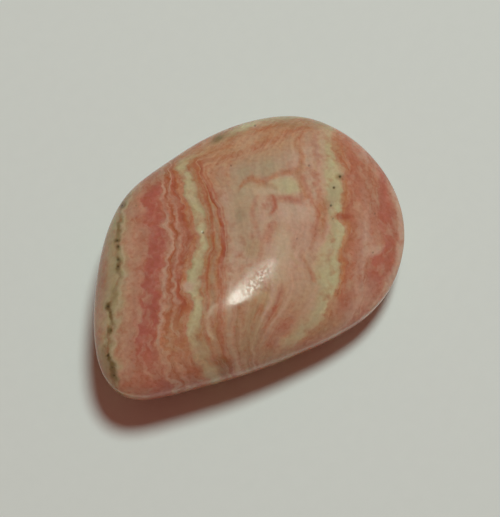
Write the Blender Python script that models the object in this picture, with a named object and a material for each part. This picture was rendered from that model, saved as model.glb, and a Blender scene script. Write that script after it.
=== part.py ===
"""Polished rhodochrosite stone: a tumbled slab with a low crown, round edges and a flat to rest on.

Lengths are metres. X runs along the stone, from its thick end to its thin end, and Z is up.
The origin is under the middle of the stone, on the surface that it rests on.
"""

import math

import bmesh
import bpy
from mathutils import Vector

NAME = "rhodochrosite_stone"

# Outline seen from above, as the cage of a closed cubic B-spline. It starts at the thin end, on +X,
# and turns towards +Y. The corners of the cage lie a little outside the stone.
OUTLINE_CAGE = (
    (0.0185, -0.0006), (0.0177, 0.0047), (0.0154, 0.0090), (0.0106, 0.0115),
    (0.0052, 0.0126), (-0.0004, 0.0124), (-0.0052, 0.0122), (-0.0094, 0.0095),
    (-0.0133, 0.0056), (-0.0164, 0.0014), (-0.0184, -0.0027), (-0.0174, -0.0063),
    (-0.0124, -0.0081), (-0.0062, -0.0105), (0.0003, -0.0119), (0.0065, -0.0129),
    (0.0121, -0.0113), (0.0168, -0.0067),
)  # fmt: skip

# The girdle is the widest line round the stone. It climbs towards the thick end, at -X.
GIRDLE_HEIGHT = 0.0052
GIRDLE_CLIMB = 0.072

# The crown is a low, arched roof. Its ridge lies to the -Y side and turns away from X; the arch is
# in height per metre of X squared.
CROWN_HEIGHT = 0.0105
CROWN_CLIMB = 0.066
CROWN_ARCH = 7.0
RIDGE_Y = -0.0051
RIDGE_TURN = 0.42
RIDGE_ROUNDING = 0.0014
FRONT_SLOPE = 0.24
BACK_SLOPE = 0.046

# The keel bulges below the girdle until the resting flat cuts it off.
KEEL_DEPTH = 0.0062
FLAT_BLEND = 0.0004

# A section follows reach**power + height**2 = 1. The power is SIDE_POWER at the two sides and
# END_FULLNESS more at the two ends, so that their edges stay round.
SIDE_POWER = 4.0
END_FULLNESS = 3.0
SOLVER_STEPS = 9

# How many squares each side of the starting cube is cut into.
CUTS_PER_SIDE = 20

BODY_PINK = (0.62, 0.26, 0.20, 1.0)
POLISH_ROUGHNESS = 0.22


def outline_point(angle):
    """Point of the outline for an angle round the stone, on a closed cubic B-spline."""
    count = len(OUTLINE_CAGE)
    place = (angle / math.tau) % 1.0 * count
    before = int(place)
    t = place - before
    weights = (
        (1 - t) ** 3,
        3 * t**3 - 6 * t**2 + 4,
        -3 * t**3 + 3 * t**2 + 3 * t + 1,
        t**3,
    )
    corners = [Vector(OUTLINE_CAGE[(before - 1 + i) % count]) for i in range(4)]
    return sum((w * corner for w, corner in zip(weights, corners)), Vector((0, 0))) / 6


def past(distance, rounding):
    """The distance where it is positive and 0 where it is negative, with a round turn between."""
    return (distance + math.hypot(distance, rounding)) / 2


def crown_height(x, y):
    """Height of the crown over a point of the plan, before its edge is rounded."""
    behind_ridge = y - RIDGE_Y - RIDGE_TURN * x
    front = FRONT_SLOPE * past(-behind_ridge, RIDGE_ROUNDING)
    back = BACK_SLOPE * past(behind_ridge, RIDGE_ROUNDING)
    return CROWN_HEIGHT - CROWN_CLIMB * x - CROWN_ARCH * x**2 - front - back


def lifted_to_flat(height):
    """The height, turned smoothly into the flat at 0 where the keel would go lower."""
    overlap = max(FLAT_BLEND - abs(height), 0.0)
    return max(height, 0.0) + overlap**2 / (4 * FLAT_BLEND)


def ray_length(across, up, angle):
    """How far a ray from the middle goes to the section: nearly level above, upright at the girdle."""
    power = SIDE_POWER + END_FULLNESS * math.cos(angle) ** 2
    length = 1.0
    for _ in range(SOLVER_STEPS):
        reach = (length * across) ** power
        excess = reach + (length * up) ** 2 - 1
        length -= excess / (power * reach / length + 2 * length * up**2)
    return length


def stone_point(direction):
    """The point of the surface that lies in this direction from the stone's middle."""
    across = math.hypot(direction.x, direction.y)
    up = abs(direction.z)
    angle = math.atan2(direction.y, direction.x)
    scale = ray_length(across, up, angle)
    x, y = scale * across * outline_point(angle)
    girdle = GIRDLE_HEIGHT - GIRDLE_CLIMB * x
    if direction.z >= 0:
        return x, y, girdle + (crown_height(x, y) - girdle) * scale * up
    return x, y, lifted_to_flat(girdle - KEEL_DEPTH * scale * up)


def spread_evenly(share):
    """Moves a cube's grid line so that the squares come out alike in size once on the sphere."""
    return math.tan(share * math.pi / 4)


def stone_mesh(name):
    """A cube's grid of squares, cast on the stone's surface and centred over the origin."""
    bm = bmesh.new()
    bmesh.ops.create_cube(bm, size=2.0)
    bmesh.ops.subdivide_edges(
        bm, edges=bm.edges[:], cuts=CUTS_PER_SIDE - 1, use_grid_fill=True
    )
    for vertex in bm.verts:
        for axis in range(3):
            vertex.co[axis] = spread_evenly(vertex.co[axis])
        vertex.co = stone_point(vertex.co.normalized())
    xs = [vertex.co.x for vertex in bm.verts]
    ys = [vertex.co.y for vertex in bm.verts]
    middle = ((min(xs) + max(xs)) / 2, (min(ys) + max(ys)) / 2, 0.0)
    bmesh.ops.translate(bm, verts=bm.verts[:], vec=[-value for value in middle])
    bmesh.ops.recalc_face_normals(bm, faces=bm.faces[:])
    mesh = bpy.data.meshes.new(name)
    bm.to_mesh(mesh)
    bm.free()
    mesh.shade_smooth()
    return mesh


def polished_pink():
    """The stone's average colour under its polish."""
    material = bpy.data.materials.new("polished_rhodochrosite")
    material.use_nodes = True
    shader = material.node_tree.nodes["Principled BSDF"]
    shader.inputs["Base Color"].default_value = BODY_PINK
    shader.inputs["Roughness"].default_value = POLISH_ROUGHNESS
    shader.inputs["Metallic"].default_value = 0.0
    return material


def main():
    for leftover in list(bpy.data.objects):
        bpy.data.objects.remove(leftover, do_unlink=True)
    collection = bpy.data.collections.new("polished_stone")
    bpy.context.scene.collection.children.link(collection)
    stone = bpy.data.objects.new(NAME, stone_mesh(NAME))
    stone.data.materials.append(polished_pink())
    collection.objects.link(stone)


main()
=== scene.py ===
"""Looks of a polished rhodochrosite stone, laid out as a Blender add-on and run as a script.

Lengths are metres unless a comment says otherwise. The stone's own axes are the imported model's: X
runs from its thick end to its thin end and Z is up. Its pattern is drawn on the layer frame: right,
up and near, as seen by someone who looks down on the crown, in tenths of a millimetre from its
middle.
"""

import math

import bmesh
import bpy
from mathutils import Matrix, Vector, noise


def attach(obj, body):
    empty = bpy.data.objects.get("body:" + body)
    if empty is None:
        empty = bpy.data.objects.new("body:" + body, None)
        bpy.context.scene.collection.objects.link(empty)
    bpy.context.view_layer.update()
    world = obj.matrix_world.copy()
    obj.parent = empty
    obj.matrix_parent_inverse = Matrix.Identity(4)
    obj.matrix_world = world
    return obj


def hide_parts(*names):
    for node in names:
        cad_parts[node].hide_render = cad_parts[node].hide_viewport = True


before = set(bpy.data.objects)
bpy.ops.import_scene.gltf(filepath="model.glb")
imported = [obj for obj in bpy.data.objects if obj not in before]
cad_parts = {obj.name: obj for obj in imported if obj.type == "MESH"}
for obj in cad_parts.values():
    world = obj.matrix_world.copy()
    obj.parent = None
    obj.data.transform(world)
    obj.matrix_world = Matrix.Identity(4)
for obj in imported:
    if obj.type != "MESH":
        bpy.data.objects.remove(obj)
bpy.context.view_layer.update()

bl_info = {
    "name": "Polished rhodochrosite stone",
    "version": (1, 0, 0),
    "blender": (4, 5, 0),
    "location": "View3D > Sidebar > Stone",
    "description": "Models a polished banded stone and the sheet of paper that it lies on",
    "category": "Add Mesh",
}

CAD_NODE = "rhodochrosite_stone"
STONE_NAME = "banded_stone"
PIT_LAYER = "pit"

# Outline seen from above, as the cage of a closed cubic B-spline. It starts at the thin end, on +X,
# and turns towards +Y. The corners of the cage lie a little outside the stone.
OUTLINE_CAGE = (
    (0.0185, -0.0006), (0.0177, 0.0047), (0.0154, 0.0090), (0.0106, 0.0115),
    (0.0052, 0.0126), (-0.0004, 0.0124), (-0.0052, 0.0122), (-0.0094, 0.0095),
    (-0.0133, 0.0056), (-0.0164, 0.0014), (-0.0184, -0.0027), (-0.0174, -0.0063),
    (-0.0124, -0.0081), (-0.0062, -0.0105), (0.0003, -0.0119), (0.0065, -0.0129),
    (0.0121, -0.0113), (0.0168, -0.0067),
)

# The section's power at the two sides, how many steps solve it, and how many points of the outline
# are read to centre the stone.
SIDE_POWER = 4.0
SOLVER_STEPS = 9
RIM_STEPS = 720

# The unevenness starts at this height over the flat and is whole after this climb, in metres. Its
# noise has this many waves to the metre.
RIPPLE_FROM = 0.0003
RIPPLE_CLIMB = 0.0012
RIPPLE_SCALE = 260.0

# The layer frame is turned as the camera is, and starts from the point that the camera aims at.
VIEW_AZIMUTH = math.radians(-37)
VIEW_ELEVATION = math.radians(68)
AIM = Vector((0.0010, -0.0008, 0.0050))
TENTHS_PER_METRE = 10000.0

# The layers lean together upwards, as if they met this far above the middle, in tenths of a
# millimetre.
MEETING_HEIGHT = 1800.0

# A line's places along and across are read on curves that reach this far from the middle.
ALONG_REACH = 160.0
ACROSS_REACH = 200.0

# Lines that would meet or cross stay this far apart, as a share of twice the reach.
LEAST_GAP = 0.004

# Lines of growth on the left, as (up, right) places, from the flank to the middle of the crown.
LEFT_LINES = {
    "pale_flank": (
        (-137, -138), (-127, -144), (-107, -151), (-82, -152), (-57, -151), (-42, -148),
        (-22, -144), (-2, -144), (18, -145), (43, -141), (58, -138), (68, -134),
    ),
    "pitted_seam": (
        (-137, -126), (-127, -132), (-117, -137), (-107, -139), (-99, -142), (-92, -142),
        (-82, -140), (-72, -140), (-60, -138), (-54, -140), (-48, -141), (-39, -137),
        (-27, -134), (-17, -131), (-2, -132), (18, -133), (33, -131), (45, -129), (54, -128),
        (58, -126), (68, -122),
    ),
    "pink_from": (
        (-137, -124), (-122, -128), (-92, -129), (-62, -125), (-32, -123), (-12, -120),
        (18, -122), (43, -121), (68, -116),
    ),
    "deep_red_from": (
        (-132, -100), (-117, -107), (-102, -111), (-87, -112), (-72, -111), (-57, -109),
        (-42, -109), (-27, -108), (-12, -104), (3, -102), (18, -101), (33, -103), (48, -105),
        (68, -107), (83, -104), (93, -100),
    ),
    "deep_red_to": (
        (-137, -74), (-127, -80), (-114, -87), (-102, -92), (-92, -94), (-82, -95), (-72, -94),
        (-64, -92), (-57, -90), (-42, -91), (-27, -90), (-17, -89), (-10, -88), (-6, -84),
        (0, -83), (8, -84), (18, -82), (24, -82), (30, -85), (34, -90), (39, -85), (45, -86),
        (51, -89), (58, -90), (76, -90), (83, -93), (93, -90),
    ),
    "pale_vein": (
        (-132, -70), (-117, -79), (-102, -85), (-92, -87), (-77, -89), (-62, -88), (-52, -87),
        (-32, -86), (-22, -85), (-10, -82), (2, -79), (18, -77), (26, -78), (36, -81),
        (43, -82), (51, -83), (60, -85), (70, -86), (80, -87), (93, -87),
    ),
    "inner_red": (
        (-122, -66), (-107, -76), (-97, -78), (-87, -82), (-77, -82), (-62, -79), (-47, -77),
        (-32, -78), (-17, -78), (-4, -76), (8, -74), (18, -72), (36, -74), (46, -77),
        (54, -79), (68, -82), (80, -81), (93, -82),
    ),
    "scalloped_red": (
        (-122, -50), (-107, -58), (-97, -64), (-87, -70), (-77, -70), (-67, -71), (-57, -69),
        (-47, -66), (-37, -67), (-24, -69), (-14, -68), (-7, -67), (2, -64), (10, -61),
        (18, -60), (28, -60), (36, -62), (46, -65), (55, -69), (68, -72), (78, -76), (93, -78),
    ),
    "cream_from": (
        (-122, -38), (-112, -45), (-102, -52), (-92, -59), (-82, -60), (-72, -63), (-64, -61),
        (-55, -59), (-45, -57), (-34, -59), (-26, -62), (-17, -60), (-7, -59), (2, -56),
        (13, -53), (23, -52), (33, -53), (41, -55), (48, -58), (58, -62), (68, -66),
        (76, -66), (86, -70), (93, -76), (98, -80),
    ),
    "cream_to": (
        (-127, -28), (-117, -34), (-107, -40), (-97, -47), (-87, -50), (-77, -53), (-67, -51),
        (-57, -49), (-42, -49), (-32, -50), (-17, -50), (-7, -47), (3, -46), (13, -42),
        (23, -46), (34, -44), (43, -45), (55, -49), (66, -53), (76, -55), (83, -60),
        (93, -64), (98, -67),
    ),
    "orange_stripe": (
        (-117, -22), (-102, -31), (-87, -38), (-72, -41), (-57, -40), (-42, -40), (-32, -41),
        (-17, -42), (-7, -40), (3, -38), (18, -35), (33, -36), (44, -37), (53, -39),
        (68, -43), (78, -47), (93, -54),
    ),
    "thin_red": (
        (-127, -12), (-112, -19), (-97, -24), (-85, -27), (-75, -29), (-62, -29), (-47, -30),
        (-32, -28), (-17, -29), (-4, -28), (6, -26), (13, -26), (26, -27), (36, -28),
        (48, -32), (58, -37), (68, -42), (80, -47), (93, -52),
    ),
    "grey_from": (
        (-127, 0), (-112, -8), (-97, -14), (-85, -18), (-62, -20), (-47, -20), (-32, -19),
        (-4, -19), (13, -17), (36, -19), (48, -21), (58, -25), (68, -29), (80, -34), (93, -38),
    ),
}

# The same lines where they bend round under the far edge, as (right, up) places, from the edge
# inwards. The first of them continues the left line with this number.
FIRST_ARC = 7
ARC_LINES = {
    "arc_outer": (
        (-90, 82), (-78, 92), (-72, 105), (-65, 109), (-58, 113), (-50, 117), (-40, 123),
        (-30, 130), (-15, 139), (0, 145), (20, 150), (50, 154), (80, 155),
    ),
    "arc_cream_from": (
        (-90, 74), (-78, 84), (-72, 97), (-65, 101), (-58, 105), (-50, 109), (-40, 115),
        (-30, 122), (-15, 131), (0, 137), (20, 142), (50, 146), (80, 147),
    ),
    "arc_cream_to": (
        (-90, 62), (-78, 76), (-72, 86), (-65, 93), (-58, 99), (-50, 103), (-40, 109),
        (-30, 115), (-15, 124), (0, 130), (15, 134), (35, 138), (50, 140), (80, 142),
    ),
    "arc_orange": (
        (-90, 56), (-78, 68), (-70, 82), (-60, 93), (-50, 100), (-40, 105), (-25, 109),
        (-15, 113), (0, 121), (10, 127), (25, 132), (40, 136), (60, 138), (80, 139),
    ),
    "arc_red": (
        (-90, 50), (-78, 58), (-70, 72), (-60, 87), (-50, 96), (-35, 100), (-22, 102),
        (-10, 105), (2, 109), (12, 113), (25, 118), (37, 125), (50, 130), (65, 132), (80, 133),
    ),
    "arc_inner": (
        (-90, 38), (-75, 48), (-65, 63), (-50, 81), (-35, 86), (-15, 91), (5, 99), (25, 107),
        (40, 115), (50, 121), (65, 125), (80, 127),
    ),
}

# Lines of growth on the right, as (up, right) places, from the middle of the crown to the flank.
RIGHT_LINES = {
    "blush_to": (
        (-92, 16), (-82, 22), (-74, 27), (-64, 34), (-57, 41), (-47, 49), (-37, 54), (-30, 57),
        (-20, 56), (-10, 54), (-2, 56), (8, 60), (18, 65), (28, 70), (38, 70), (48, 68),
        (60, 65), (73, 63), (88, 63), (108, 61), (128, 59), (140, 58),
    ),
    "broad_cream_from": (
        (-92, 30), (-82, 36), (-74, 43), (-64, 53), (-57, 62), (-47, 69), (-37, 72), (-27, 75),
        (-20, 72), (-10, 69), (0, 72), (10, 76), (18, 80), (28, 85), (38, 84), (48, 81),
        (60, 79), (73, 77), (88, 77), (98, 76), (108, 74), (128, 73), (140, 72),
    ),
    "broad_cream_to": (
        (-92, 42), (-84, 47), (-77, 55), (-69, 65), (-62, 73), (-55, 74), (-48, 77), (-39, 83),
        (-27, 87), (-17, 89), (-6, 90), (1, 87), (8, 88), (18, 92), (26, 94), (34, 95),
        (38, 88), (44, 87), (50, 92), (58, 91), (70, 93), (80, 92), (88, 96), (94, 93),
        (100, 86), (110, 82), (126, 82), (138, 86),
    ),
    "right_orange": (
        (-87, 56), (-77, 68), (-67, 78), (-52, 83), (-32, 91), (-12, 97), (8, 97), (26, 102),
        (34, 102), (43, 96), (58, 100), (78, 100), (93, 102), (108, 93), (128, 95),
    ),
    "right_pale": (
        (-82, 80), (-67, 95), (-57, 102), (-42, 111), (-32, 113), (-12, 113), (8, 116),
        (28, 116), (58, 116), (78, 118), (98, 116), (118, 112),
    ),
    "right_red_from": (
        (-72, 100), (-57, 108), (-42, 114), (-32, 116), (-22, 116), (-12, 118), (2, 120),
        (6, 124), (12, 135), (18, 134), (28, 130), (38, 128), (68, 128), (88, 127), (108, 120),
    ),
    "right_rim": (
        (-67, 108), (-52, 120), (-37, 131), (-22, 139), (-2, 146), (23, 150), (48, 148),
        (68, 144), (98, 142),
    ),
}

# How widely the left lines and the arcs turn into one another, in lines.
ARC_BLEND = 0.4

# Colours along the growth, as (lines passed, shade or two shades and the share of the second). The
# left has two tables, because a ramp holds at most 32 stops.
LEFT_SHADES = (
    (0.00, "grey", "pink", 0.3), (0.55, "cream", "grey", 0.5), (0.82, "cream", "olive", 0.4),
    (1.00, "olive", "tan", 0.4), (1.25, "cream", "olive", 0.45), (1.50, "cream", "grey", 0.4),
    (1.80, "beige", "tan", 0.4), (2.05, "beige", "pink", 0.6), (2.85, "pink", "rose", 0.4),
    (3.05, "deep_red", "rose", 0.4), (3.85, "deep_red", "rose", 0.15),
    (4.15, "pink", "rose", 0.4), (4.60, "pink", "blush", 0.4), (5.00, "blush", "pink", 0.5),
    (5.40, "orange", "rose", 0.5), (5.90, "brick"), (6.30, "pink", "blush", 0.3),
    (6.60, "rose", "brick", 0.5), (6.95, "brick", "deep_red", 0.3), (7.35, "orange", "brick", 0.2),
    (7.80, "orange", "pink", 0.5), (8.05, "tan", "cream", 0.5), (8.40, "cream"),
)
INNER_SHADES = (
    (8.40, "cream"), (8.80, "cream", "tan", 0.2), (9.05, "tan", "cream", 0.3),
    (9.30, "orange", "tan", 0.3), (9.50, "tan", "orange", 0.3), (9.75, "orange", "brick", 0.5),
    (9.90, "brick", "orange", 0.3), (10.05, "orange", "tan", 0.4), (10.35, "tan", "pink", 0.4),
    (10.62, "orange", "tan", 0.4), (10.78, "brick"), (11.04, "brick", "deep_red", 0.5),
    (11.16, "rose", "brick", 0.4), (11.28, "pink", "beige", 0.4), (11.42, "rose", "pink", 0.4),
    (11.55, "pink", "beige", 0.5), (12.00, "beige", "blush", 0.5),
)
MIDDLE_SHADES = (
    (0.00, "beige", "blush", 0.5), (0.08, "pink"), (0.14, "tan", "brick", 0.3),
    (0.22, "beige", "pink", 0.4), (0.28, "beige", "tan", 0.4), (0.34, "tan", "orange", 0.4),
    (0.40, "tan", "olive", 0.3), (0.45, "orange", "brick", 0.6), (0.50, "tan", "orange", 0.4),
    (0.55, "blush"), (0.61, "beige", "pink", 0.5), (0.67, "rose", "brick", 0.5),
    (0.73, "orange", "pink", 0.4), (0.80, "blush", "pink", 0.4), (0.86, "pink", "orange", 0.4),
    (0.92, "rose", "orange", 0.4), (1.00, "rose", "brick", 0.4),
)
RIGHT_SHADES = (
    (0.00, "pink", "orange", 0.4), (0.50, "blush", "pink", 0.5), (0.85, "beige", "cream", 0.5),
    (1.08, "cream"), (1.85, "cream"), (2.10, "orange", "cream", 0.3), (2.50, "orange"),
    (3.00, "orange", "rose", 0.5), (3.50, "rose", "pink", 0.6), (4.00, "pink", "blush", 0.6),
    (4.40, "rose", "pink", 0.6), (4.95, "pink", "rose", 0.4), (5.15, "rose", "deep_red", 0.4),
    (5.60, "rose", "deep_red", 0.3), (5.85, "pink", "rose", 0.4), (6.00, "blush", "pink", 0.3),
)

# The middle's colours blend with those of the two sides over this many lines.
LEFT_FADE = 0.6
RIGHT_FADE = 0.5

# The pocket: its noise's scale per tenth of a millimetre, the shades at the noise's values, and the
# height on the layer frame where it starts and where it is whole.
POCKET_SCALE = 0.05
POCKET_SHADES = (
    (0.30, "pink", "orange", 0.3), (0.42, "pink", "blush", 0.5), (0.50, "beige", "blush", 0.5),
    (0.60, "blush", "pink", 0.3), (0.70, "beige"),
)
POCKET_UP = (-50.0, 12.0)

# Below this height in metres the lines wander, as layers do in depth, by up to half this many
# tenths of a millimetre at the plane that the stone rests on.
WANDER_BELOW = 0.0065
WANDER_REACH = 26.0
WANDER_SCALE = 0.012

# The scallops' scale, and their size from one place to another to the right or up, as (from, to,
# size at the first, size at the second). The three sizes are added.
SCALLOP_SCALE = 0.13
LEFT_SCALLOPS = (-58.0, -42.0, 9.0, 2.5)
RIGHT_SCALLOPS = (50.0, 75.0, 0.0, 5.0)
LOW_SCALLOPS = (-72.0, -42.0, 5.0, 0.0)

# Bulges are larger scallops with cusps between: cells per tenth of a millimetre, how softly the
# cells meet, the cells' value that moves nothing, and sizes as for the scallops.
BULGE_CELLS = (0.035, 0.085, 0.05)
BULGE_SOFTNESS = 0.4
BULGE_MIDDLE = 0.45
LEFT_BULGES = (-58.0, -42.0, 7.0, 2.5)

# The patches are pushed this share as far as the lines are by wandering and scallops.
PATCH_PUSH = 0.5

# How many times the noise with fine detail is folded in at half the size.
FINE_DETAIL = 4.0

# Clouds under the patches: scale per tenth of a millimetre, where the noise starts and ends, share,
# shade. Mottles over them have one more column, true for those that run along the growth, and are
# whole where the colour is pure: (least purity, most purity, share there, share here).
CLOUDS = (
    (0.060, 0.50, 0.72, 0.38, ("blush", "pink", 0.4)),
    (0.085, 0.52, 0.75, 0.60, ("brick", "rose", 0.4)),
)
MOTTLES = (
    (0.270, 0.47, 0.66, 0.36, ("brick", "brown", 0.1), False),
    (0.160, 0.52, 0.70, 0.36, ("brick", "deep_red", 0.4), True),
    (0.210, 0.50, 0.72, 0.40, ("blush", "cream", 0.4), True),
)
MOTTLE_PURITY = (0.50, 0.68, 0.25, 1.0)

# How fast the noises that follow the growth run: with each line passed, with each tenth of a
# millimetre along the lines to the right and up, and with each one nearer. The middle counts as
# this many lines.
MIDDLE_LINES = 9.0
STREAK_LINE = 11.0
STREAK_RIGHT = 0.12
STREAK_UP = 0.38
STREAK_NEAR = 0.3
LAMINA_LINE = 2.2
LAMINA_UP = 0.03
LAMINA_NEAR = 0.03

# Patches of colour, among them painted light, shade and highlight: middle as (right, up), reach,
# turn in degrees, edge softness, share, shade.
COLOUR_AND_PAINTED_LIGHT_PATCHES = (
    ((-7, 58), (14, 42), 0, 0.6, 0.85, ("beige", "grey", 0.4)),
    ((-10, 44), (5, 7), 0, 0.6, 0.8, ("grey", "tan", 0.4)),
    ((12, 95), (25, 12), 18, 0.7, 0.8, ("grey", "beige", 0.4)),
    ((17, 90), (10, 8), 15, 0.35, 0.6, ("grey", "cream", 0.4)),
    ((-6, 87), (7, 4), 20, 0.4, 0.5, ("grey", "cream", 0.4)),
    ((-9, 66), (4, 9), -10, 0.4, 0.5, ("grey", "cream", 0.3)),
    ((20, 69), (22, 6), 0, 0.6, 0.75, ("cream", "blush", 0.5)),
    ((37, 73), (14, 8), -12, 0.45, 1.0, ("cream", "blush", 0.15)),
    ((10, 22), (5, 12), -15, 0.6, 0.6, ("blush", "cream", 0.4)),
    ((60, -28), (11, 46), -23, 0.8, 0.45, ("beige", "cream", 0.45)),
    ((44, 46), (17, 11), 0, 0.5, 0.95, ("blush", "cream", 0.1)),
    ((18, 24), (6, 9), -20, 0.6, 0.7, ("pink", "rose", 0.4)),
    ((33, 13), (9, 22), 0, 0.6, 0.9, ("blush", "cream", 0.35)),
    ((55, 23), (14, 15), 0, 0.5, 0.7, ("pink", "blush", 0.5)),
    ((4, 10), (9, 10), 0, 0.5, 0.7, ("beige", "olive", 0.15)),
    ((72, 46), (5, 22), 0, 0.6, 0.7, ("orange",)),
    ((50, -27), (14, 18), 10, 0.6, 0.6, ("beige", "blush", 0.5)),
    ((40, 136), (26, 6), -4, 0.6, 0.7, ("tan", "olive", 0.25)),
    ((-74, -95), (17, 15), -15, 0.7, 0.7, ("orange", "tan", 0.3)),
    ((-56, -110), (13, 9), -15, 0.6, 0.6, ("brick", "orange", 0.3)),
    ((-52, -79), (7, 5), 0, 0.6, 0.45, ("tan", "orange", 0.3)),
    ((-102, -114), (16, 16), 0, 0.7, 0.5, ("rose", "orange", 0.5)),
    ((-76, -70), (9, 20), 0, 0.7, 0.6, ("orange", "tan", 0.5)),
    ((-4, 118), (14, 7), 22, 0.6, 0.85, ("beige", "blush", 0.3)),
    ((13, 115), (58, 14), 14, 0.5, 0.55, ("beige", "orange", 0.5)),
    ((-36, 99), (17, 13), 20, 0.7, 0.55, ("beige", "orange", 0.5)),
    # Painted light: a pale wash along the near slope, which the soft light reaches less.
    ((0, -92), (130, 26), 16, 0.7, 0.22, ("blush", "pink", 0.3)),
    ((40, -67), (8, 13), -30, 0.6, 0.5, ("rose", "brick", 0.5)),
    ((46, -47), (14, 18), -30, 0.7, 0.55, ("beige", "pink", 0.4)),
    ((-14, -80), (36, 26), 0, 0.7, 0.35, ("tan", "brown", 0.35)),
    ((-29, -45), (6, 34), 0, 0.6, 0.6, ("pink", "orange", 0.6)),
    ((83, -46), (6, 7), 0, 0.6, 0.6, ("beige", "pink", 0.3)),
    ((-143, -106), (8, 18), 15, 0.6, 0.5, ("olive", "grey", 0.4)),
    ((-46, -92), (7, 9), 0, 0.6, 0.7, ("tan", "cream", 0.4)),
    ((-62, -28), (6, 5), 0, 0.6, 0.8, ("blush",)),
    ((-27, -107), (9, 8), 20, 0.6, 0.75, ("brown",)),
    ((-38, -113), (9, 7), 20, 0.6, 0.8, ("beige", "cream", 0.4)),
    ((4, -72), (8, 18), 0, 0.7, 0.7, ("beige", "olive", 0.2)),
    ((27, -97), (26, 9), 18, 0.6, 0.7, ("rose", "tan", 0.5)),
    ((116, 82), (10, 24), 20, 0.7, 0.7, ("rose", "orange", 0.4)),
    ((98, 98), (10, 26), 25, 0.7, 0.45, ("rose", "brick", 0.3)),
    ((141, -2), (5, 12), -10, 0.6, 0.7, ("rose", "deep_red", 0.3)),
    ((117, -36), (11, 16), -20, 0.7, 0.6, ("pink", "blush", 0.4)),
    ((-46, 112), (22, 7), 30, 0.6, 0.55, ("orange", "tan", 0.4)),
    ((-137, 5), (7, 62), 0, 0.7, 0.5, ("cream", "olive", 0.35)),
    ((95, 42), (7, 3), 0, 0.6, 0.9, ("brick", "deep_red", 0.4)),
    ((124, 8), (9, 5), 15, 0.5, 0.9, ("blush", "pink", 0.4)),
    # Painted shade: darker along the upper-left edge, where the crown turns away from the light;
    # also a little less red.
    ((-90, 86), (38, 7), 39, 0.8, 0.5, ("tan", "brown", 0.25)),
    # Paler tan towards the lower-right rim: partly the stone's own colour, partly painted light
    # where the slope gets less light.
    ((75, -68), (18, 8), 30, 0.7, 0.5, ("tan", "beige", 0.5)),
    ((73, 137), (12, 8), 0, 0.8, 0.8, ("tan", "olive", 0.2)),
    ((-28, 77), (9, 9), 0, 0.8, 0.5, ("tan", "orange", 0.5)),
    ((-85, 52), (8, 12), 0, 0.8, 0.5, ("brick", "rose", 0.5)),
    ((-21, 126), (9, 6), 25, 0.8, 0.5, ("tan", "olive", 0.4)),
    ((110, 50), (10, 12), 0, 0.8, 0.5, ("rose", "orange", 0.4)),
    ((34, 119), (10, 8), 0, 0.8, 0.5, ("beige", "orange", 0.3)),
    # Paler beside and under the highlight: partly the stone's pale colour, partly painted
    # highlight.
    ((30, -19), (9, 9), 0, 0.8, 0.7, ("cream", "blush", 0.5)),
    ((12, -39), (8, 8), 0, 0.8, 0.75, ("beige", "cream", 0.3)),
    ((16, -97), (10, 8), 0, 0.8, 0.6, ("beige", "tan", 0.4)),
    ((-41, 82), (8, 9), 0, 0.8, 0.5, ("orange", "brick", 0.3)),
    ((103, 121), (10, 11), 0, 0.8, 0.75, ("rose", "orange", 0.5)),
    ((87, 109), (8, 8), 0, 0.8, 0.5, ("tan", "beige", 0.5)),
)

# Stains, most of them in the pitted seam, with the same columns.
SMUDGES = (
    ((-32, 120), (7, 3), 28, 0.9, 0.85, ("olive",)),
    ((90, 82), (4, 3), 0, 0.8, 0.5, ("olive", "brown", 0.3)),
    ((82, 62), (6, 14), -20, 0.9, 0.3, ("olive", "grey", 0.5)),
    ((-129, 54), (4, 4), 0, 0.6, 0.7, ("olive", "soot", 0.2)),
    ((-131, 28), (2, 9), 0, 0.8, 0.6, ("olive",)),
    ((-133, 18), (3, 2), 0, 0.8, 0.7, ("olive", "soot", 0.3)),
    ((-132, 11), (2, 3), 0, 0.8, 0.7, ("olive", "soot", 0.3)),
    ((-132, -1), (2, 3), 0, 0.8, 0.7, ("olive", "soot", 0.2)),
    ((-132, -9), (2, 4), -10, 0.8, 0.7, ("olive", "soot", 0.3)),
    ((-136, -36), (3, 9), 0, 0.7, 0.6, ("cream", "olive", 0.6)),
    ((-142, -48), (3, 4), 0, 0.6, 0.8, ("olive", "soot", 0.5)),
    ((-139, -57), (2, 6), 10, 0.7, 0.75, ("olive", "soot", 0.3)),
    ((-140, -72), (2, 4), 0, 0.6, 0.75, ("olive", "soot", 0.2)),
    ((-142, -98), (2, 4), 0, 0.6, 0.85, ("olive", "soot", 0.5)),
    ((-137, -112), (3, 12), 17, 0.7, 0.7, ("olive", "soot", 0.3)),
)

# Veins, and one painted reflection among the upright ones: shade, share, half width, first and last
# place along, then (along, across) places. They fade this far to each side of their first and last
# places, and are gone at VEIN_EDGE half widths.
UPRIGHT_VEINS_AND_GLINT = (
    (
        ("orange",), 0.65, 2.6, 60, 124,
        ((60, 57), (70, 53), (80, 49), (90, 50), (103, 52), (113, 47), (123, 51)),
    ),
    (("orange", "pink", 0.3), 0.6, 2.0, -24, 4, ((-24, 65), (-12, 61), (-4, 56), (4, 52))),
    (("pink", "rose", 0.4), 0.5, 2.2, -6, 62, ((-6, 9), (13, 12), (28, 8), (43, 3), (62, 6))),
    (("rose", "brick", 0.4), 0.8, 2.0, 44, 64, ((44, 20), (54, 26), (64, 22))),
    (("rose", "orange", 0.4), 0.6, 2.2, 8, 84, ((8, 60), (28, 66), (50, 66), (62, 61), (84, 53))),
    (("beige", "blush", 0.5), 0.7, 2.2, 60, 130, ((60, 73), (90, 73), (130, 72))),
    # Painted reflection: a pale streak where the highlight's tail runs down the ridge, not a vein.
    (
        ("cream", "blush", 0.6), 0.7, 2.2, -80, -46,
        ((-80, -38), (-68, -41), (-56, -41), (-46, -34)),
    ),
)
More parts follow.
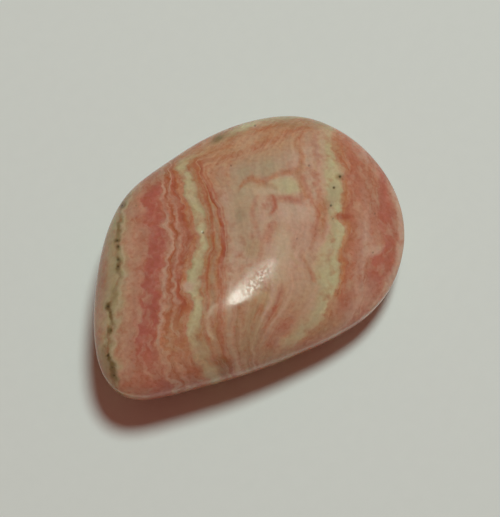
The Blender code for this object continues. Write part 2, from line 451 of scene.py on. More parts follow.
LEVEL_VEINS = (
    (
        ("orange", "brick", 0.3), 0.6, 2.6, -12, 50,
        ((-12, 68), (0, 80), (12, 77), (25, 83), (38, 87), (50, 86)),
    ),
    (("rose", "brick", 0.3), 0.5, 3.0, 27, 52, ((22, 62), (30, 61), (40, 60), (52, 57))),
    (("tan", "pink", 0.4), 0.6, 2.0, 5, 28, ((5, 72), (15, 74), (28, 70))),
)
VEIN_FADE = 3
VEIN_EDGE = 2.2

# Where the polish is worn dull, with the patches' first four columns. Its frost is noise: scale,
# then where it starts and ends and the roughness that it adds there.
DULL_PATCH = ((10, -22), (13, 22), -45, 0.5)
FROST_SCALE = 0.34
FROST = (0.36, 0.62, 0.09, 0.28)

# Wear of the polish all over: scale, where its noise starts and ends, and what it adds to the
# roughness there.
WEAR_SCALE = 0.035
WEAR_NOISE = (0.3, 0.7)
WEAR_LEAST = -0.03
WEAR_MOST = 0.05

# Fine grain: how much the laminae and the mottle vary the colour, and the mottle's scale.
LAMINA_AMOUNT = 0.34
GRAIN_SCALE = 0.30
GRAIN_AMOUNT = 0.25

# Bump from the grain: strengths, and one depth in metres for the stone and the paper.
STONE_BUMP = 0.15
PAPER_BUMP = 0.1
BUMP_DEPTH = 0.00002

# How the stone bends and colours light: refraction, tint of the reflection, and the share of the
# light's reach for red, green and blue.
REFRACTION = 1.5
REFLECTION_TINT = (1.0, 0.97, 0.86, 1.0)
SCATTER_SHARES = (1.0, 0.35, 0.2)

# The paper's grain in waves to the metre and its amount, its finish, and how far below the stone it
# lies so that the two don't share a plane.
PAPER_GRAIN_SCALE = 700.0
PAPER_GRAIN_AMOUNT = 0.03
PAPER_ROUGHNESS = 0.9
PAPER_REFLECTION = 0.2
PAPER_GAP = 0.00001

# The camera's sensor in millimetres, and the distances in metres between which it sees.
SENSOR_WIDTH_MM = 36.0
CLIP_START = 0.01
CLIP_END = 20.0

# Pits and dark specks: (right, up), radius, depth share.
PITS = (
    ((-128, 53), 1.6, 0.8), ((-133, 18), 1.4, 1.0), ((-132, 12), 1.6, 0.9), ((-132, -1), 1.4, 0.8),
    ((-132, -8), 1.5, 1.0), ((-142, -48), 1.8, 1.0), ((-140, -54), 1.3, 0.6),
    ((-139, -72), 1.5, 0.7), ((-142, -97), 1.7, 0.9), ((-138, -109), 1.4, 0.7),
    ((-136, -117), 1.6, 0.8), ((90, 82), 1.9, 0.9), ((84, 71), 1.8, 0.9), ((81, 53), 1.7, 0.8),
    ((83, 40), 1.5, 0.5), ((59, 93), 1.6, 0.6), ((47, 20), 1.5, 0.5), ((-19, 93), 1.4, 0.6),
    ((5, 133), 1.5, 0.7), ((-47, 26), 1.7, 0.7), ((-114, 53), 1.4, 0.5), ((123, 6), 1.5, 0.5),
    ((88, -35), 1.5, 0.4), ((125, 45), 1.6, 0.5),
)

# Pits are only on the crown, above this height in metres. The mesh is cut finer up to PIT_MARGIN
# from their edges. They end at PIT_END radii and grow shallow outwards by PIT_FALL. Soot starts and
# is whole at two shares of the deepest pit, and is duller than the polish.
PITS_ABOVE = 0.003
PIT_MARGIN = 3.0
PIT_CUTS = 2
PIT_END = 1.6
PIT_FALL = 1.6
SOOT_FROM = 0.15
SOOT_TO = 0.75
SOOT_DULLNESS = 0.4


def srgb(red, green, blue):
    """The linear colour of an sRGB one with channels from 0 to 255."""
    return tuple(((v / 255 + 0.055) / 1.055) ** 2.4 for v in (red, green, blue))


def colour_property(name, description, red, green, blue):
    """A colour that the user can change, with its default as it looks on the screen."""
    return bpy.props.FloatVectorProperty(
        name=name,
        description=description,
        subtype="COLOR",
        size=3,
        min=0.0,
        max=1.0,
        default=srgb(red, green, blue),
    )


def length_property(name, description, default, low=0.0, high=0.05):
    """A length in metres that the user can change."""
    return bpy.props.FloatProperty(
        name=name,
        description=description,
        default=default,
        min=low,
        max=high,
        precision=5,
        subtype="DISTANCE",
        unit="LENGTH",
    )


def share_property(name, description, default, high=1.0):
    """A plain number, up to high either way, that the user can change."""
    return bpy.props.FloatProperty(
        name=name,
        description=description,
        default=default,
        min=-high,
        max=high,
        precision=3,
    )


class StoneForm(bpy.types.PropertyGroup):
    """Sizes of the stone."""

    girdle_height: length_property("Girdle height", "Height of the widest line", 0.0052)
    girdle_climb: share_property("Girdle climb", "Rise of the girdle towards the thick end", 0.072)
    crown_height: length_property("Crown height", "Height of the ridge over the middle", 0.0105)
    crown_climb: share_property("Crown climb", "Rise of the ridge towards the thick end", 0.066)
    crown_arch: share_property("Crown arch", "Fall in height per metre of X squared", 7.0, 50.0)
    ridge_y: length_property("Ridge place", "Where the ridge crosses the Y axis", -0.0051, -0.01)
    ridge_turn: share_property("Ridge turn", "Slope of the ridge's line in plan", 0.42)
    ridge_rounding: length_property("Ridge rounding", "How round the ridge turns", 0.0014)
    front_slope: share_property("Front slope", "Fall of the crown on the -Y side", 0.24)
    back_slope: share_property("Back slope", "Fall of the crown on the +Y side", 0.046)
    end_fullness: share_property("End fullness", "How much rounder the two ends are", 3.0, high=8.0)
    keel_depth: length_property("Keel depth", "Depth below the girdle before the flat", 0.0062)
    flat_blend: length_property("Flat blend", "How softly the keel turns into the flat", 0.0004)
    ripple: length_property("Ripple", "Height of the unevenness left by tumbling", 0.00003)
    pit_depth: length_property("Pit depth", "Depth of the deepest pits", 0.00006)
    squares: bpy.props.IntProperty(
        name="Squares per side",
        description="How many squares each side of the starting cube is cut into",
        default=104,
        min=8,
        max=120,
    )


class StoneColours(bpy.types.PropertyGroup):
    """Colours and polish of the stone."""

    cream: colour_property("Cream", "The two cream bands", 201, 195, 153)
    beige: colour_property("Beige", "The quiet middle of the crown", 198, 174, 139)
    blush: colour_property("Blush", "The palest pink", 208, 180, 158)
    pink: colour_property("Pink", "The usual pink", 196, 153, 126)
    rose: colour_property("Rose", "The stronger pink", 190, 125, 103)
    deep_red: colour_property("Deep red", "The broad red band", 181, 105, 91)
    brick: colour_property("Brick", "The thin dark red lines", 174, 99, 64)
    orange: colour_property("Orange", "Lines stained with iron", 193, 138, 97)
    tan: colour_property("Tan", "Brownish bands", 176, 151, 113)
    brown: colour_property("Brown", "The darkest stain", 146, 100, 66)
    olive: colour_property("Olive", "The seam with the pits", 124, 108, 66)
    grey: colour_property("Grey", "Greyish places", 174, 159, 133)
    soot: colour_property("Soot", "What fills the pits", 88, 74, 42)
    translucency: share_property("Translucency", "How much light spreads inside", 0.8)
    scatter_reach: length_property("Light reach", "How far light spreads inside", 0.006)
    gloss: share_property("Gloss", "How much the polish reflects", 0.28)
    polish: share_property("Roughness", "Roughness of the polish", 0.12)


class StageSettings(bpy.types.PropertyGroup):
    """The paper, the light and the camera."""

    paper: colour_property("Paper", "The sheet that the stone lies on", 228, 238, 230)
    paper_size: length_property("Paper size", "Width of the sheet", 4.0, high=20.0)
    distance: length_property("Camera distance", "From the aim to the camera", 0.180, high=2.0)
    field: length_property("Field", "Height of the picture at the aim", 0.0517, high=1.0)
    light_right: share_property("Light right", "Lean of the light to the right", 0.165)
    light_away: share_property("Light away", "Lean of the light away from the camera", 0.247)
    light_distance: length_property("Light distance", "From the aim to the light", 0.60, high=3.0)
    light_size: length_property("Light size", "Diameter of the soft light", 0.165, high=3.0)
    light_tone: colour_property("Light tone", "Colour of the soft light", 241, 255, 255)
    light_power: bpy.props.FloatProperty(
        name="Light power",
        description="Power of the soft light",
        default=2.2,
        min=0.0,
        unit="POWER",
    )
    fill: share_property("Fill", "Strength of the even light from all round", 0.180)
    fill_tone: colour_property("Fill tone", "Colour of the even light", 255, 154, 140)


def layer_axes():
    """The layer frame's right, up and near, in the stone's axes."""
    right = Vector((math.cos(VIEW_AZIMUTH), math.sin(VIEW_AZIMUTH), 0.0))
    flat = math.cos(VIEW_ELEVATION)
    near = Vector(
        (math.sin(VIEW_AZIMUTH) * flat, -math.cos(VIEW_AZIMUTH) * flat, math.sin(VIEW_ELEVATION))
    )
    return right, near.cross(right), near


def layer_place(point):
    """A point's right, up and near places on the layer frame."""
    place = Vector([axis.dot(point - AIM) * TENTHS_PER_METRE for axis in layer_axes()])
    return place * MEETING_HEIGHT / (MEETING_HEIGHT - place.z)


def outline_point(angle):
    """Point of the outline for an angle round the stone, on a closed cubic B-spline."""
    count = len(OUTLINE_CAGE)
    place = (angle / math.tau) % 1.0 * count
    before = int(place)
    t = place - before
    weights = (
        (1 - t) ** 3,
        3 * t**3 - 6 * t**2 + 4,
        -3 * t**3 + 3 * t**2 + 3 * t + 1,
        t**3,
    )
    corners = [Vector(OUTLINE_CAGE[(before - 1 + i) % count]) for i in range(4)]
    return sum((w * corner for w, corner in zip(weights, corners)), Vector((0, 0))) / 6


def past(distance, rounding):
    """The distance where it is positive and 0 where it is negative, with a round turn between."""
    return (distance + math.hypot(distance, rounding)) / 2


def crown_height(form, x, y):
    """Height of the crown over a point of the plan, before its edge is rounded."""
    behind_ridge = y - form.ridge_y - form.ridge_turn * x
    front = form.front_slope * past(-behind_ridge, form.ridge_rounding)
    back = form.back_slope * past(behind_ridge, form.ridge_rounding)
    return form.crown_height - form.crown_climb * x - form.crown_arch * x**2 - front - back


def lifted_to_flat(form, height):
    """The height, turned smoothly into the flat at 0 where the keel would go lower."""
    overlap = max(form.flat_blend - abs(height), 0.0)
    return max(height, 0.0) + overlap**2 / (4 * form.flat_blend)


def ray_length(form, across, up, angle):
    """How far a ray from the middle goes to a section where reach**power + height**2 = 1.

    Such a section is nearly level over the middle and upright at the girdle. The power is larger at
    the two ends, so that their edges stay round.
    """
    power = SIDE_POWER + form.end_fullness * math.cos(angle) ** 2
    length = 1.0
    for _ in range(SOLVER_STEPS):
        reach = (length * across) ** power
        excess = reach + (length * up) ** 2 - 1
        length -= excess / (power * reach / length + 2 * length * up**2)
    return length


def stone_point(form, direction):
    """The point of the surface that lies in this direction from the stone's middle."""
    across = math.hypot(direction.x, direction.y)
    up = abs(direction.z)
    angle = math.atan2(direction.y, direction.x)
    scale = ray_length(form, across, up, angle)
    x, y = scale * across * outline_point(angle)
    girdle = form.girdle_height - form.girdle_climb * x
    if direction.z >= 0:
        crown = crown_height(form, x, y)
        return Vector((x, y, girdle + (crown - girdle) * scale * up))
    return Vector((x, y, lifted_to_flat(form, girdle - form.keel_depth * scale * up)))


def spread_evenly(co):
    """Moves a point of the cube's grid so that the squares come out alike in size once cast."""
    return Vector([math.tan(share * math.pi / 4) for share in co])


def cast(form, co, shift):
    """Casts a point of the cube's grid on the stone's surface, centred over the origin."""
    return stone_point(form, spread_evenly(co).normalized()) - shift


def centring_shift(form):
    """How far the stone's box lies from the origin before it is centred."""
    steps = [math.tau * i / RIM_STEPS for i in range(RIM_STEPS)]
    rim = [outline_point(angle) for angle in steps]
    xs = [point.x for point in rim]
    ys = [point.y for point in rim]
    return Vector(((min(xs) + max(xs)) / 2, (min(ys) + max(ys)) / 2, 0.0))


def refine_near_pits(form, bm, shift):
    """Cuts the squares near the pits finer, while the mesh is still a cube."""
    chosen = set()
    for face in bm.faces:
        middle = face.calc_center_median()
        spot = cast(form, middle, shift)
        if spot.z < PITS_ABOVE:
            continue
        place = layer_place(spot)
        for (right, up), radius, _ in PITS:
            if math.hypot(place.x - right, place.y - up) < radius + PIT_MARGIN:
                chosen.update(face.edges)
                break
    bmesh.ops.subdivide_edges(bm, edges=list(chosen), cuts=PIT_CUTS, use_grid_fill=True)


def pit_share(place):
    """How deep in a pit a place is, from 0 outside to 1 at the bottom of the deepest."""
    deepest = 0.0
    for (right, up), radius, depth in PITS:
        distance = math.hypot(place.x - right, place.y - up) / radius
        if distance < PIT_END:
            deepest = max(deepest, depth * math.exp(-PIT_FALL * distance**2))
    return deepest


def stone_mesh(form):
    """The stone's fine mesh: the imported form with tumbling's unevenness and the pits."""
    shift = centring_shift(form)
    bm = bmesh.new()
    bmesh.ops.create_cube(bm, size=2.0)
    bmesh.ops.subdivide_edges(
        bm, edges=bm.edges[:], cuts=form.squares - 1, use_grid_fill=True
    )
    refine_near_pits(form, bm, shift)
    for vertex in bm.verts:
        vertex.co = cast(form, vertex.co, shift)
    bmesh.ops.recalc_face_normals(bm, faces=bm.faces[:])
    bm.normal_update()
    pit = bm.verts.layers.float.new(PIT_LAYER)
    for vertex in bm.verts:
        spot = vertex.co.copy()
        off_the_flat = min(max((spot.z - RIPPLE_FROM) / RIPPLE_CLIMB, 0.0), 1.0)
        height = form.ripple * noise.noise(spot * RIPPLE_SCALE) * off_the_flat
        if spot.z > PITS_ABOVE:
            share = pit_share(layer_place(spot))
            vertex[pit] = share
            height -= form.pit_depth * share
        vertex.co = spot + vertex.normal * height
    mesh = bpy.data.meshes.new(STONE_NAME)
    bm.to_mesh(mesh)
    bm.free()
    mesh.shade_smooth()
    return mesh


class Wiring:
    """Adds nodes to one tree. A value may be a number, a vector, a colour or an output to link."""

    def __init__(self, tree):
        self.tree = tree

    def set(self, socket, value):
        """Links an output to the socket, or sets the socket's own value."""
        if isinstance(value, bpy.types.NodeSocket):
            self.tree.links.new(value, socket)
        else:
            socket.default_value = value

    def add(self, kind, inputs, **settings):
        """Adds a node; inputs maps the names or numbers of its sockets to values."""
        node = self.tree.nodes.new("ShaderNode" + kind)
        for name, value in settings.items():
            setattr(node, name, value)
        for name, value in inputs.items():
            self.set(node.inputs[name], value)
        return node

    def math(self, operation, *values):
        """The result of a Math node."""
        return self.add("Math", dict(enumerate(values)), operation=operation).outputs[0]

    def vector_math(self, operation, *values):
        """The vector that a Vector Math node gives."""
        return self.add("VectorMath", dict(enumerate(values)), operation=operation).outputs[0]

    def scaled(self, vector, factor):
        """A vector times a number."""
        return self.add("VectorMath", {0: vector, 3: factor}, operation="SCALE").outputs[0]

    def combined(self, *parts):
        """A vector from up to three numbers."""
        return self.add("CombineXYZ", dict(enumerate(parts))).outputs[0]

    def flattened(self, vector):
        """A vector with its third number left at 0."""
        return self.combined(*self.add("SeparateXYZ", {0: vector}).outputs[:2])

    def stretch(self, value, low, high, first=0.0, last=1.0, smooth=False):
        """The value's place between low and high, held to the range from first to last."""
        kind = "SMOOTHSTEP" if smooth else "LINEAR"
        inputs = {0: value, 1: low, 2: high, 3: first, 4: last}
        return self.add("MapRange", inputs, interpolation_type=kind).outputs[0]

    def mix(self, share, first, second):
        """A colour between two."""
        inputs = {0: share, 6: first, 7: second}
        return self.add("Mix", inputs, data_type="RGBA").outputs[2]

    def tinted(self, colour, mask, share, tone):
        """The colour, turned towards the tone by the mask times the share."""
        return self.mix(self.math("MULTIPLY", mask, share), colour, tone)

    def noise(self, place, scale, detail=2.0, output="Fac"):
        """Fractal noise at a place."""
        inputs = {"Vector": place, "Scale": scale, "Detail": detail}
        return self.add("TexNoise", inputs).outputs[output]

    def curve(self, value, points):
        """A smooth curve through (along, across) points, both scaled to go from 0 to 1."""
        node = self.add("FloatCurve", {"Value": value})
        scaled = [
            ((a / ALONG_REACH + 1) / 2, (b / ACROSS_REACH + 1) / 2) for a, b in points
        ]
        curve = node.mapping.curves[0]
        curve.points[0].location = scaled[0]
        curve.points[1].location = scaled[-1]
        for along, across in scaled[1:-1]:
            curve.points.new(along, across)
        node.mapping.extend = "HORIZONTAL"
        node.mapping.update()
        return node.outputs[0]

    def ramp(self, value, stops):
        """The colour at a value, between (place, colour) stops with places from 0 to 1."""
        node = self.add("ValToRGB", {0: value})
        elements = node.color_ramp.elements
        while len(elements) > 1:
            elements.remove(elements[-1])
        elements[0].position, elements[0].color = stops[0]
        for place, colour in stops[1:]:
            elements.new(place).color = colour
        return node.outputs[0]


def shade(colours, first, second=None, share=0.0):
    """A named colour of the stone, or one between two of them, with alpha."""
    start = Vector(getattr(colours, first))
    if second:
        start = start.lerp(Vector(getattr(colours, second)), share)
    return (*start, 1.0)


def growth_stops(colours, table, last):
    """Ramp stops for a table of colours along the growth."""
    return [(row[0] / last, shade(colours, *row[1:])) for row in table]


def line_curves(wires, along, lines, side=1):
    """A curve for each line of growth. With a side of -1 the places across count downwards."""
    return [
        wires.curve(along, [(place, side * across) for place, across in points])
        for points in lines.values()
    ]


def lines_passed(wires, across, lines):
    """How many of the lines lie behind a place, with an even change from each to the next."""
    total = 0.0
    line = lines[0]
    for following in lines[1:]:
        following = wires.math("MAXIMUM", following, wires.math("ADD", line, LEAST_GAP))
        total = wires.math("ADD", wires.stretch(across, line, following), total)
        line = following
    return total


def patch_mask(wires, flat_place, middle, reach, turn, softness):
    """1 inside an oval patch and 0 outside, with a soft edge."""
    outer = 1 + softness
    inputs = {
        0: flat_place,
        1: (*middle, 0.0),
        2: (0.0, 0.0, math.radians(turn)),
        3: (reach[0] * outer, reach[1] * outer, 1.0),
    }
    local = wires.add("Mapping", inputs, vector_type="TEXTURE").outputs[0]
    inwards = wires.add("TexGradient", {0: local}, gradient_type="SPHERICAL").outputs["Fac"]
    return wires.stretch(inwards, 0.0, 2 * softness / outer, smooth=True)


def patched(wires, colours, colour, flat_place, patches):
    """The colour under oval patches of other colours."""
    for middle, reach, turn, softness, share, named in patches:
        mask = patch_mask(wires, flat_place, middle, reach, turn, softness)
        colour = wires.tinted(colour, mask, share, shade(colours, *named))
    return colour


def veined_and_glinting(wires, colours, colour, along, along_unit, across_unit, veins):
    """The colour under veins, and painted reflections, that follow their points and fade at both
    ends.
    """
    for named, share, half_width, first, last, points in veins:
        line = wires.curve(along_unit, points)
        distance = wires.math("ABSOLUTE", wires.math("SUBTRACT", across_unit, line))
        edge = half_width / (2 * ACROSS_REACH) * VEIN_EDGE
        body = wires.stretch(distance, 0.0, edge, 1.0, 0.0, smooth=True)
        start = wires.stretch(along, first - VEIN_FADE, first + VEIN_FADE, smooth=True)
        end = wires.stretch(along, last - VEIN_FADE, last + VEIN_FADE, 1.0, 0.0, smooth=True)
        mask = wires.math("MULTIPLY", body, wires.math("MULTIPLY", start, end))
        colour = wires.tinted(colour, mask, share, shade(colours, *named))
    return colour


def layer_nodes(wires, objects):
    """The shaded point's place on the layer frame, and how near it is before the layers lean."""
    axes = Matrix(layer_axes())
    inputs = {
        0: objects,
        1: -(axes @ AIM) * TENTHS_PER_METRE,
        2: axes.to_euler(),
        3: (TENTHS_PER_METRE,) * 3,
    }
    level = wires.add("Mapping", inputs).outputs[0]
    near = wires.add("SeparateXYZ", {0: level}).outputs[2]
    spread = wires.math("DIVIDE", MEETING_HEIGHT, wires.math("SUBTRACT", MEETING_HEIGHT, near))
    return wires.scaled(level, spread), near


def centred_noise(wires, place, scale, detail=2.0):
    """A noise vector with its numbers about 0."""
    field = wires.noise(place, scale, detail=detail, output="Color")
    return wires.vector_math("SUBTRACT", field, (0.5, 0.5, 0.5))


def pushes(wires, objects, place):
    """How far the lines are pushed off by wandering and scallops together, and by bulges."""
    height = wires.add("SeparateXYZ", {0: objects}).outputs[2]
    depth = wires.stretch(height, WANDER_BELOW, 0.0, 0.0, WANDER_REACH)
    wander = centred_noise(wires, place, WANDER_SCALE)
    scallops = centred_noise(wires, place, SCALLOP_SCALE, detail=FINE_DETAIL)
    wandered = wires.scaled(wander, depth)
    right, up = wires.add("SeparateXYZ", {0: place}).outputs[:2]
    on_left = wires.stretch(right, *LEFT_SCALLOPS, smooth=True)
    on_right = wires.stretch(right, *RIGHT_SCALLOPS, smooth=True)
    low = wires.stretch(up, *LOW_SCALLOPS, smooth=True)
    size = wires.math("ADD", on_left, wires.math("ADD", on_right, low))
    scalloped = wires.scaled(scallops, size)
    cells = wires.add("Mapping", {0: place, 3: BULGE_CELLS}).outputs[0]
    inputs = {"Vector": cells, "Scale": 1.0, "Smoothness": BULGE_SOFTNESS}
    bulge = wires.add("TexVoronoi", inputs, feature="SMOOTH_F1").outputs["Distance"]
    size = wires.stretch(right, *LEFT_BULGES, smooth=True)
    bulge = wires.math("MULTIPLY", wires.math("SUBTRACT", bulge, BULGE_MIDDLE), size)
    bulged = wires.combined(bulge, bulge)
    return wires.vector_math("ADD", wandered, scalloped), bulged


def banding(wires, colours):
    """The stone's colour, the layer place, and a place whose noise follows the growth."""
    objects = wires.add("TexCoord", {}).outputs["Object"]
    place, near = layer_nodes(wires, objects)
    pushed, bulged = pushes(wires, objects, place)
    bent = wires.vector_math("ADD", wires.vector_math("ADD", place, pushed), bulged)
    right, up = wires.add("SeparateXYZ", {0: bent}).outputs[:2]
    right_along = wires.stretch(right, -ALONG_REACH, ALONG_REACH)
    up_along = wires.stretch(up, -ALONG_REACH, ALONG_REACH)
    right_across = wires.stretch(right, -ACROSS_REACH, ACROSS_REACH)
    up_across = wires.stretch(up, -ACROSS_REACH, ACROSS_REACH)
    down_across = wires.math("SUBTRACT", 1.0, up_across)

    left_lines = line_curves(wires, up_along, LEFT_LINES)
    grown_left = lines_passed(wires, right_across, left_lines)
    arc_lines = line_curves(wires, right_along, ARC_LINES, side=-1)
    grown_arc = wires.math("ADD", lines_passed(wires, down_across, arc_lines), float(FIRST_ARC))
    grown = wires.math("SMOOTH_MIN", grown_left, grown_arc, ARC_BLEND)
    last_left = len(LEFT_LINES) - 1
    left_share = wires.math("DIVIDE", grown, float(last_left))
    outer_colour = wires.ramp(left_share, growth_stops(colours, LEFT_SHADES, last_left))
    inner_colour = wires.ramp(left_share, growth_stops(colours, INNER_SHADES, last_left))
    is_inner = wires.math("GREATER_THAN", grown, INNER_SHADES[0][0])
    left_colour = wires.mix(is_inner, outer_colour, inner_colour)

    right_lines = line_curves(wires, up_along, RIGHT_LINES)
    grown_right = lines_passed(wires, right_across, right_lines)
    last_right = len(RIGHT_LINES) - 1
    right_share = wires.math("DIVIDE", grown_right, float(last_right))
    right_colour = wires.ramp(right_share, growth_stops(colours, RIGHT_SHADES, last_right))

    # Between the two, laminae below and a pocket with a swirl above.
    grown_middle = wires.stretch(right_across, left_lines[-1], right_lines[0])
    laminae = wires.ramp(grown_middle, growth_stops(colours, MIDDLE_SHADES, 1))
    swirl = wires.noise(bent, POCKET_SCALE, detail=FINE_DETAIL)
    pocket = wires.ramp(swirl, growth_stops(colours, POCKET_SHADES, 1))
    in_pocket = wires.stretch(up, *POCKET_UP, smooth=True)
    colour = wires.mix(in_pocket, laminae, pocket)
    on_left = wires.stretch(grown, last_left - LEFT_FADE, last_left, 1.0, 0.0)
    colour = wires.mix(on_left, colour, left_colour)
    on_right = wires.stretch(grown_right, 0.0, RIGHT_FADE)
    colour = wires.mix(on_right, colour, right_colour)

    for scale, low, high, share, named in CLOUDS:
        mask = wires.stretch(wires.noise(place, scale, detail=FINE_DETAIL), low, high, 0.0, share)
        colour = wires.mix(mask, colour, shade(colours, *named))
    patch_place = wires.vector_math("ADD", place, wires.scaled(pushed, PATCH_PUSH))
    flat_place = wires.flattened(patch_place)
    # Some of these patches are painted light, shade and highlight.
    colour = patched(wires, colours, colour, flat_place, COLOUR_AND_PAINTED_LIGHT_PATCHES)
    # One of the upright streaks is a painted reflection, not a vein.
    colour = veined_and_glinting(wires, colours, colour, up, up_along, right_across, UPRIGHT_VEINS_AND_GLINT)
    colour = veined_and_glinting(wires, colours, colour, right, right_along, up_across, LEVEL_VEINS)

    # The mottles stay off the pale bands, where the colour is less pure.
    purity = wires.add("SeparateColor", {0: colour}, mode="HSV").outputs[1]
    stained = wires.stretch(purity, *MOTTLE_PURITY)
    total = wires.math("MULTIPLY_ADD", grown_middle, MIDDLE_LINES, grown)
    total = wires.math("ADD", total, grown_right)
    run = wires.math("MULTIPLY_ADD", right, STREAK_RIGHT, wires.math("MULTIPLY", up, STREAK_UP))
    streak_place = wires.combined(
        wires.math("MULTIPLY", total, STREAK_LINE), run, wires.math("MULTIPLY", near, STREAK_NEAR)
    )
    for scale, low, high, share, named, streaky in MOTTLES:
        field = wires.noise(streak_place if streaky else place, scale, detail=FINE_DETAIL)
        mask = wires.stretch(field, low, high, 0.0, share)
        colour = wires.tinted(colour, mask, stained, shade(colours, *named))
    colour = patched(wires, colours, colour, flat_place, SMUDGES)
    lamina_place = wires.combined(
        wires.math("MULTIPLY", total, LAMINA_LINE),
        wires.math("MULTIPLY", up, LAMINA_UP),
        wires.math("MULTIPLY", near, LAMINA_NEAR),
    )
    return colour, place, lamina_place


def grain_group():
    """Builds the grain group once: a fine mottle that brightens and darkens a colour."""
    name = "fine_grain"
    if name in bpy.data.node_groups:
        return bpy.data.node_groups[name]
    group = bpy.data.node_groups.new(name, "ShaderNodeTree")
    for socket, way, kind in (
        ("Place", "INPUT", "Vector"),
        ("Colour", "INPUT", "Color"),
        ("Scale", "INPUT", "Float"),
        ("Amount", "INPUT", "Float"),
        ("Colour", "OUTPUT", "Color"),
        ("Height", "OUTPUT", "Float"),
    ):
        group.interface.new_socket(socket, in_out=way, socket_type="NodeSocket" + kind)
    wires = Wiring(group)
    given = group.nodes.new("NodeGroupInput").outputs
    result = group.nodes.new("NodeGroupOutput").inputs
    mottle = wires.noise(given["Place"], given["Scale"], detail=3.0)
    centred = wires.math("SUBTRACT", mottle, 0.5)
    value = wires.math("MULTIPLY_ADD", centred, given["Amount"], 1.0)
    toned = wires.add("HueSaturation", {"Value": value, "Color": given["Colour"]}).outputs[0]
    wires.set(result["Colour"], toned)
    wires.set(result["Height"], mottle)
    return group


def add_grain(wires, place, colour, scale, amount):
    """Places the grain group and returns its colour and height."""
    node = wires.tree.nodes.new("ShaderNodeGroup")
    node.node_tree = grain_group()
    for name, value in (("Place", place), ("Colour", colour), ("Scale", scale), ("Amount", amount)):
        wires.set(node.inputs[name], value)
    return node.outputs["Colour"], node.outputs["Height"]


def banded_mineral(colours):
    """The stone's material: growth bands, a pocket, veins, patches, grain, pits and a worn polish;
    some patches and one vein are painted light, shade and reflection.
    """
    material = bpy.data.materials.new("banded_mineral")
    material.use_nodes = True
    wires = Wiring(material.node_tree)
    shader = material.node_tree.nodes["Principled BSDF"]
    colour, place, lamina_place = banding(wires, colours)
    flat_place = wires.flattened(place)
    colour, _ = add_grain(wires, lamina_place, colour, 1.0, LAMINA_AMOUNT)
    colour, mottle = add_grain(wires, place, colour, GRAIN_SCALE, GRAIN_AMOUNT)
    pit = wires.add("Attribute", {}, attribute_name=PIT_LAYER).outputs["Fac"]
    pit_mask = wires.stretch(pit, SOOT_FROM, SOOT_TO)
    colour = wires.mix(pit_mask, colour, shade(colours, "soot"))
    wires.set(shader.inputs["Base Color"], colour)
    wear = wires.noise(place, WEAR_SCALE, detail=FINE_DETAIL)
    polish = colours.polish
    roughness = wires.stretch(wear, *WEAR_NOISE, polish + WEAR_LEAST, polish + WEAR_MOST)
    dull = patch_mask(wires, flat_place, *DULL_PATCH)
    frosted = wires.stretch(wires.noise(place, FROST_SCALE), *FROST)
    roughness = wires.math("MULTIPLY_ADD", dull, frosted, roughness)
    roughness = wires.math("MULTIPLY_ADD", pit_mask, SOOT_DULLNESS, roughness)
    wires.set(shader.inputs["Roughness"], roughness)
    bump = wires.add("Bump", {"Height": mottle, "Strength": STONE_BUMP, "Distance": BUMP_DEPTH})
    wires.set(shader.inputs["Normal"], bump.outputs[0])
    shader.inputs["IOR"].default_value = REFRACTION
    shader.inputs["Specular IOR Level"].default_value = colours.gloss
    shader.inputs["Specular Tint"].default_value = REFLECTION_TINT
    shader.inputs["Subsurface Weight"].default_value = colours.translucency
    shader.inputs["Subsurface Radius"].default_value = SCATTER_SHARES
    shader.inputs["Subsurface Scale"].default_value = colours.scatter_reach
    return material


def paper_material(settings):
    """Plain pale paper with a faint mottle."""
    material = bpy.data.materials.new("plain_paper")
    material.use_nodes = True
    wires = Wiring(material.node_tree)
    shader = material.node_tree.nodes["Principled BSDF"]
    objects = wires.add("TexCoord", {}).outputs["Object"]
    paper = (*settings.paper, 1.0)
    colour, height = add_grain(wires, objects, paper, PAPER_GRAIN_SCALE, PAPER_GRAIN_AMOUNT)
    wires.set(shader.inputs["Base Color"], colour)
    bump = wires.add("Bump", {"Height": height, "Strength": PAPER_BUMP, "Distance": BUMP_DEPTH})
    wires.set(shader.inputs["Normal"], bump.outputs[0])
    shader.inputs["Roughness"].default_value = PAPER_ROUGHNESS
    shader.inputs["Specular IOR Level"].default_value = PAPER_REFLECTION
    return material


def link(thing):
    """Puts an object in the scene."""
    bpy.context.scene.collection.objects.link(thing)
    return thing


def floor_sheet(settings):
    """The sheet of paper under the stone."""
    bm = bmesh.new()
    bmesh.ops.create_grid(bm, x_segments=4, y_segments=4, size=settings.paper_size / 2)
    bmesh.ops.translate(bm, verts=bm.verts[:], vec=(0.0, 0.0, -PAPER_GAP))
    mesh = bpy.data.meshes.new("paper")
    bm.to_mesh(mesh)
    bm.free()
    sheet = link(bpy.data.objects.new("paper", mesh))
    mesh.materials.append(paper_material(settings))
    return sheet


def key_light(settings):
    """One soft light, high and behind the stone on the right."""
    right, _, near = layer_axes()
    away = Vector((-near.x, -near.y, 0.0)).normalized()
    lean = settings.light_right * right + settings.light_away * away
    towards = (lean + Vector((0.0, 0.0, 1.0))).normalized()
    light = bpy.data.lights.new("soft_light", "AREA")
    light.shape = "DISK"
    light.size = settings.light_size
    light.energy = settings.light_power
    light.color = settings.light_tone
    lamp = link(bpy.data.objects.new("soft_light", light))
    lamp.location = AIM + towards * settings.light_distance
    lamp.rotation_euler = towards.to_track_quat("Z", "Y").to_euler()
    return lamp


def fill_light(settings):
    """Even, weak light from all round."""
    world = bpy.data.worlds.new("even_light")
    world.use_nodes = True
    background = world.node_tree.nodes["Background"]
    background.inputs["Color"].default_value = (*settings.fill_tone, 1.0)
    background.inputs["Strength"].default_value = settings.fill
    bpy.context.scene.world = world


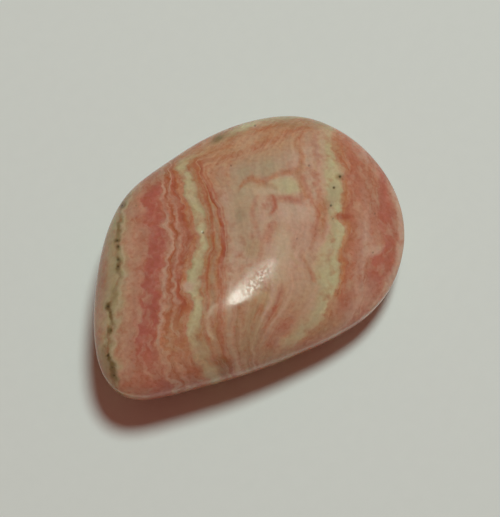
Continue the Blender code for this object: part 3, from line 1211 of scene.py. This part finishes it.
def main_camera(settings):
    """The camera at the photograph's angle."""
    right, up, near = layer_axes()
    data = bpy.data.cameras.new("camera")
    data.sensor_width = SENSOR_WIDTH_MM
    data.lens = data.sensor_width * settings.distance / settings.field
    data.clip_start = CLIP_START
    data.clip_end = CLIP_END
    camera = link(bpy.data.objects.new("camera", data))
    camera.location = AIM + near * settings.distance
    camera.rotation_euler = Matrix((right, up, near)).transposed().to_euler()
    bpy.context.scene.camera = camera


class MESH_OT_banded_stone(bpy.types.Operator):
    """Models the polished banded stone and gives it its material"""

    bl_idname = "mesh.banded_stone"
    bl_label = "Banded stone"

    def execute(self, context):
        scene = context.scene
        stone = link(bpy.data.objects.new(STONE_NAME, stone_mesh(scene.stone_form)))
        stone.data.materials.append(banded_mineral(scene.stone_colours))
        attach(stone, "root")
        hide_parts(CAD_NODE)
        return {"FINISHED"}


class SCENE_OT_paper_stage(bpy.types.Operator):
    """Lays the paper and sets the light and the camera"""

    bl_idname = "scene.paper_stage"
    bl_label = "Paper, light and camera"

    def execute(self, context):
        settings = context.scene.stone_stage
        floor_sheet(settings)
        key_light(settings)
        fill_light(settings)
        main_camera(settings)
        context.scene.view_settings.view_transform = "Standard"
        return {"FINISHED"}


class VIEW3D_PT_stone(bpy.types.Panel):
    """Lists the stone's sizes and colours and the buttons that make it"""

    bl_label = "Polished stone"
    bl_idname = "VIEW3D_PT_stone"
    bl_space_type = "VIEW_3D"
    bl_region_type = "UI"
    bl_category = "Stone"

    def draw(self, context):
        scene = context.scene
        for settings, operator in (
            (scene.stone_form, None),
            (scene.stone_colours, MESH_OT_banded_stone.bl_idname),
            (scene.stone_stage, SCENE_OT_paper_stage.bl_idname),
        ):
            column = self.layout.column()
            for name in type(settings).__annotations__:
                column.prop(settings, name)
            if operator:
                column.operator(operator)


CLASSES = (
    StoneForm,
    StoneColours,
    StageSettings,
    MESH_OT_banded_stone,
    SCENE_OT_paper_stage,
    VIEW3D_PT_stone,
)


def register():
    """Registers the classes and puts the settings on the scene."""
    for cls in CLASSES:
        bpy.utils.register_class(cls)
    bpy.types.Scene.stone_form = bpy.props.PointerProperty(type=StoneForm)
    bpy.types.Scene.stone_colours = bpy.props.PointerProperty(type=StoneColours)
    bpy.types.Scene.stone_stage = bpy.props.PointerProperty(type=StageSettings)


def unregister():
    """Takes the settings off the scene and unregisters the classes."""
    del bpy.types.Scene.stone_form
    del bpy.types.Scene.stone_colours
    del bpy.types.Scene.stone_stage
    for cls in reversed(CLASSES):
        bpy.utils.unregister_class(cls)


def main():
    """Makes the stone and its stage."""
    register()
    bpy.ops.mesh.banded_stone()
    bpy.ops.scene.paper_stage()


if __name__ == "__main__":
    main()
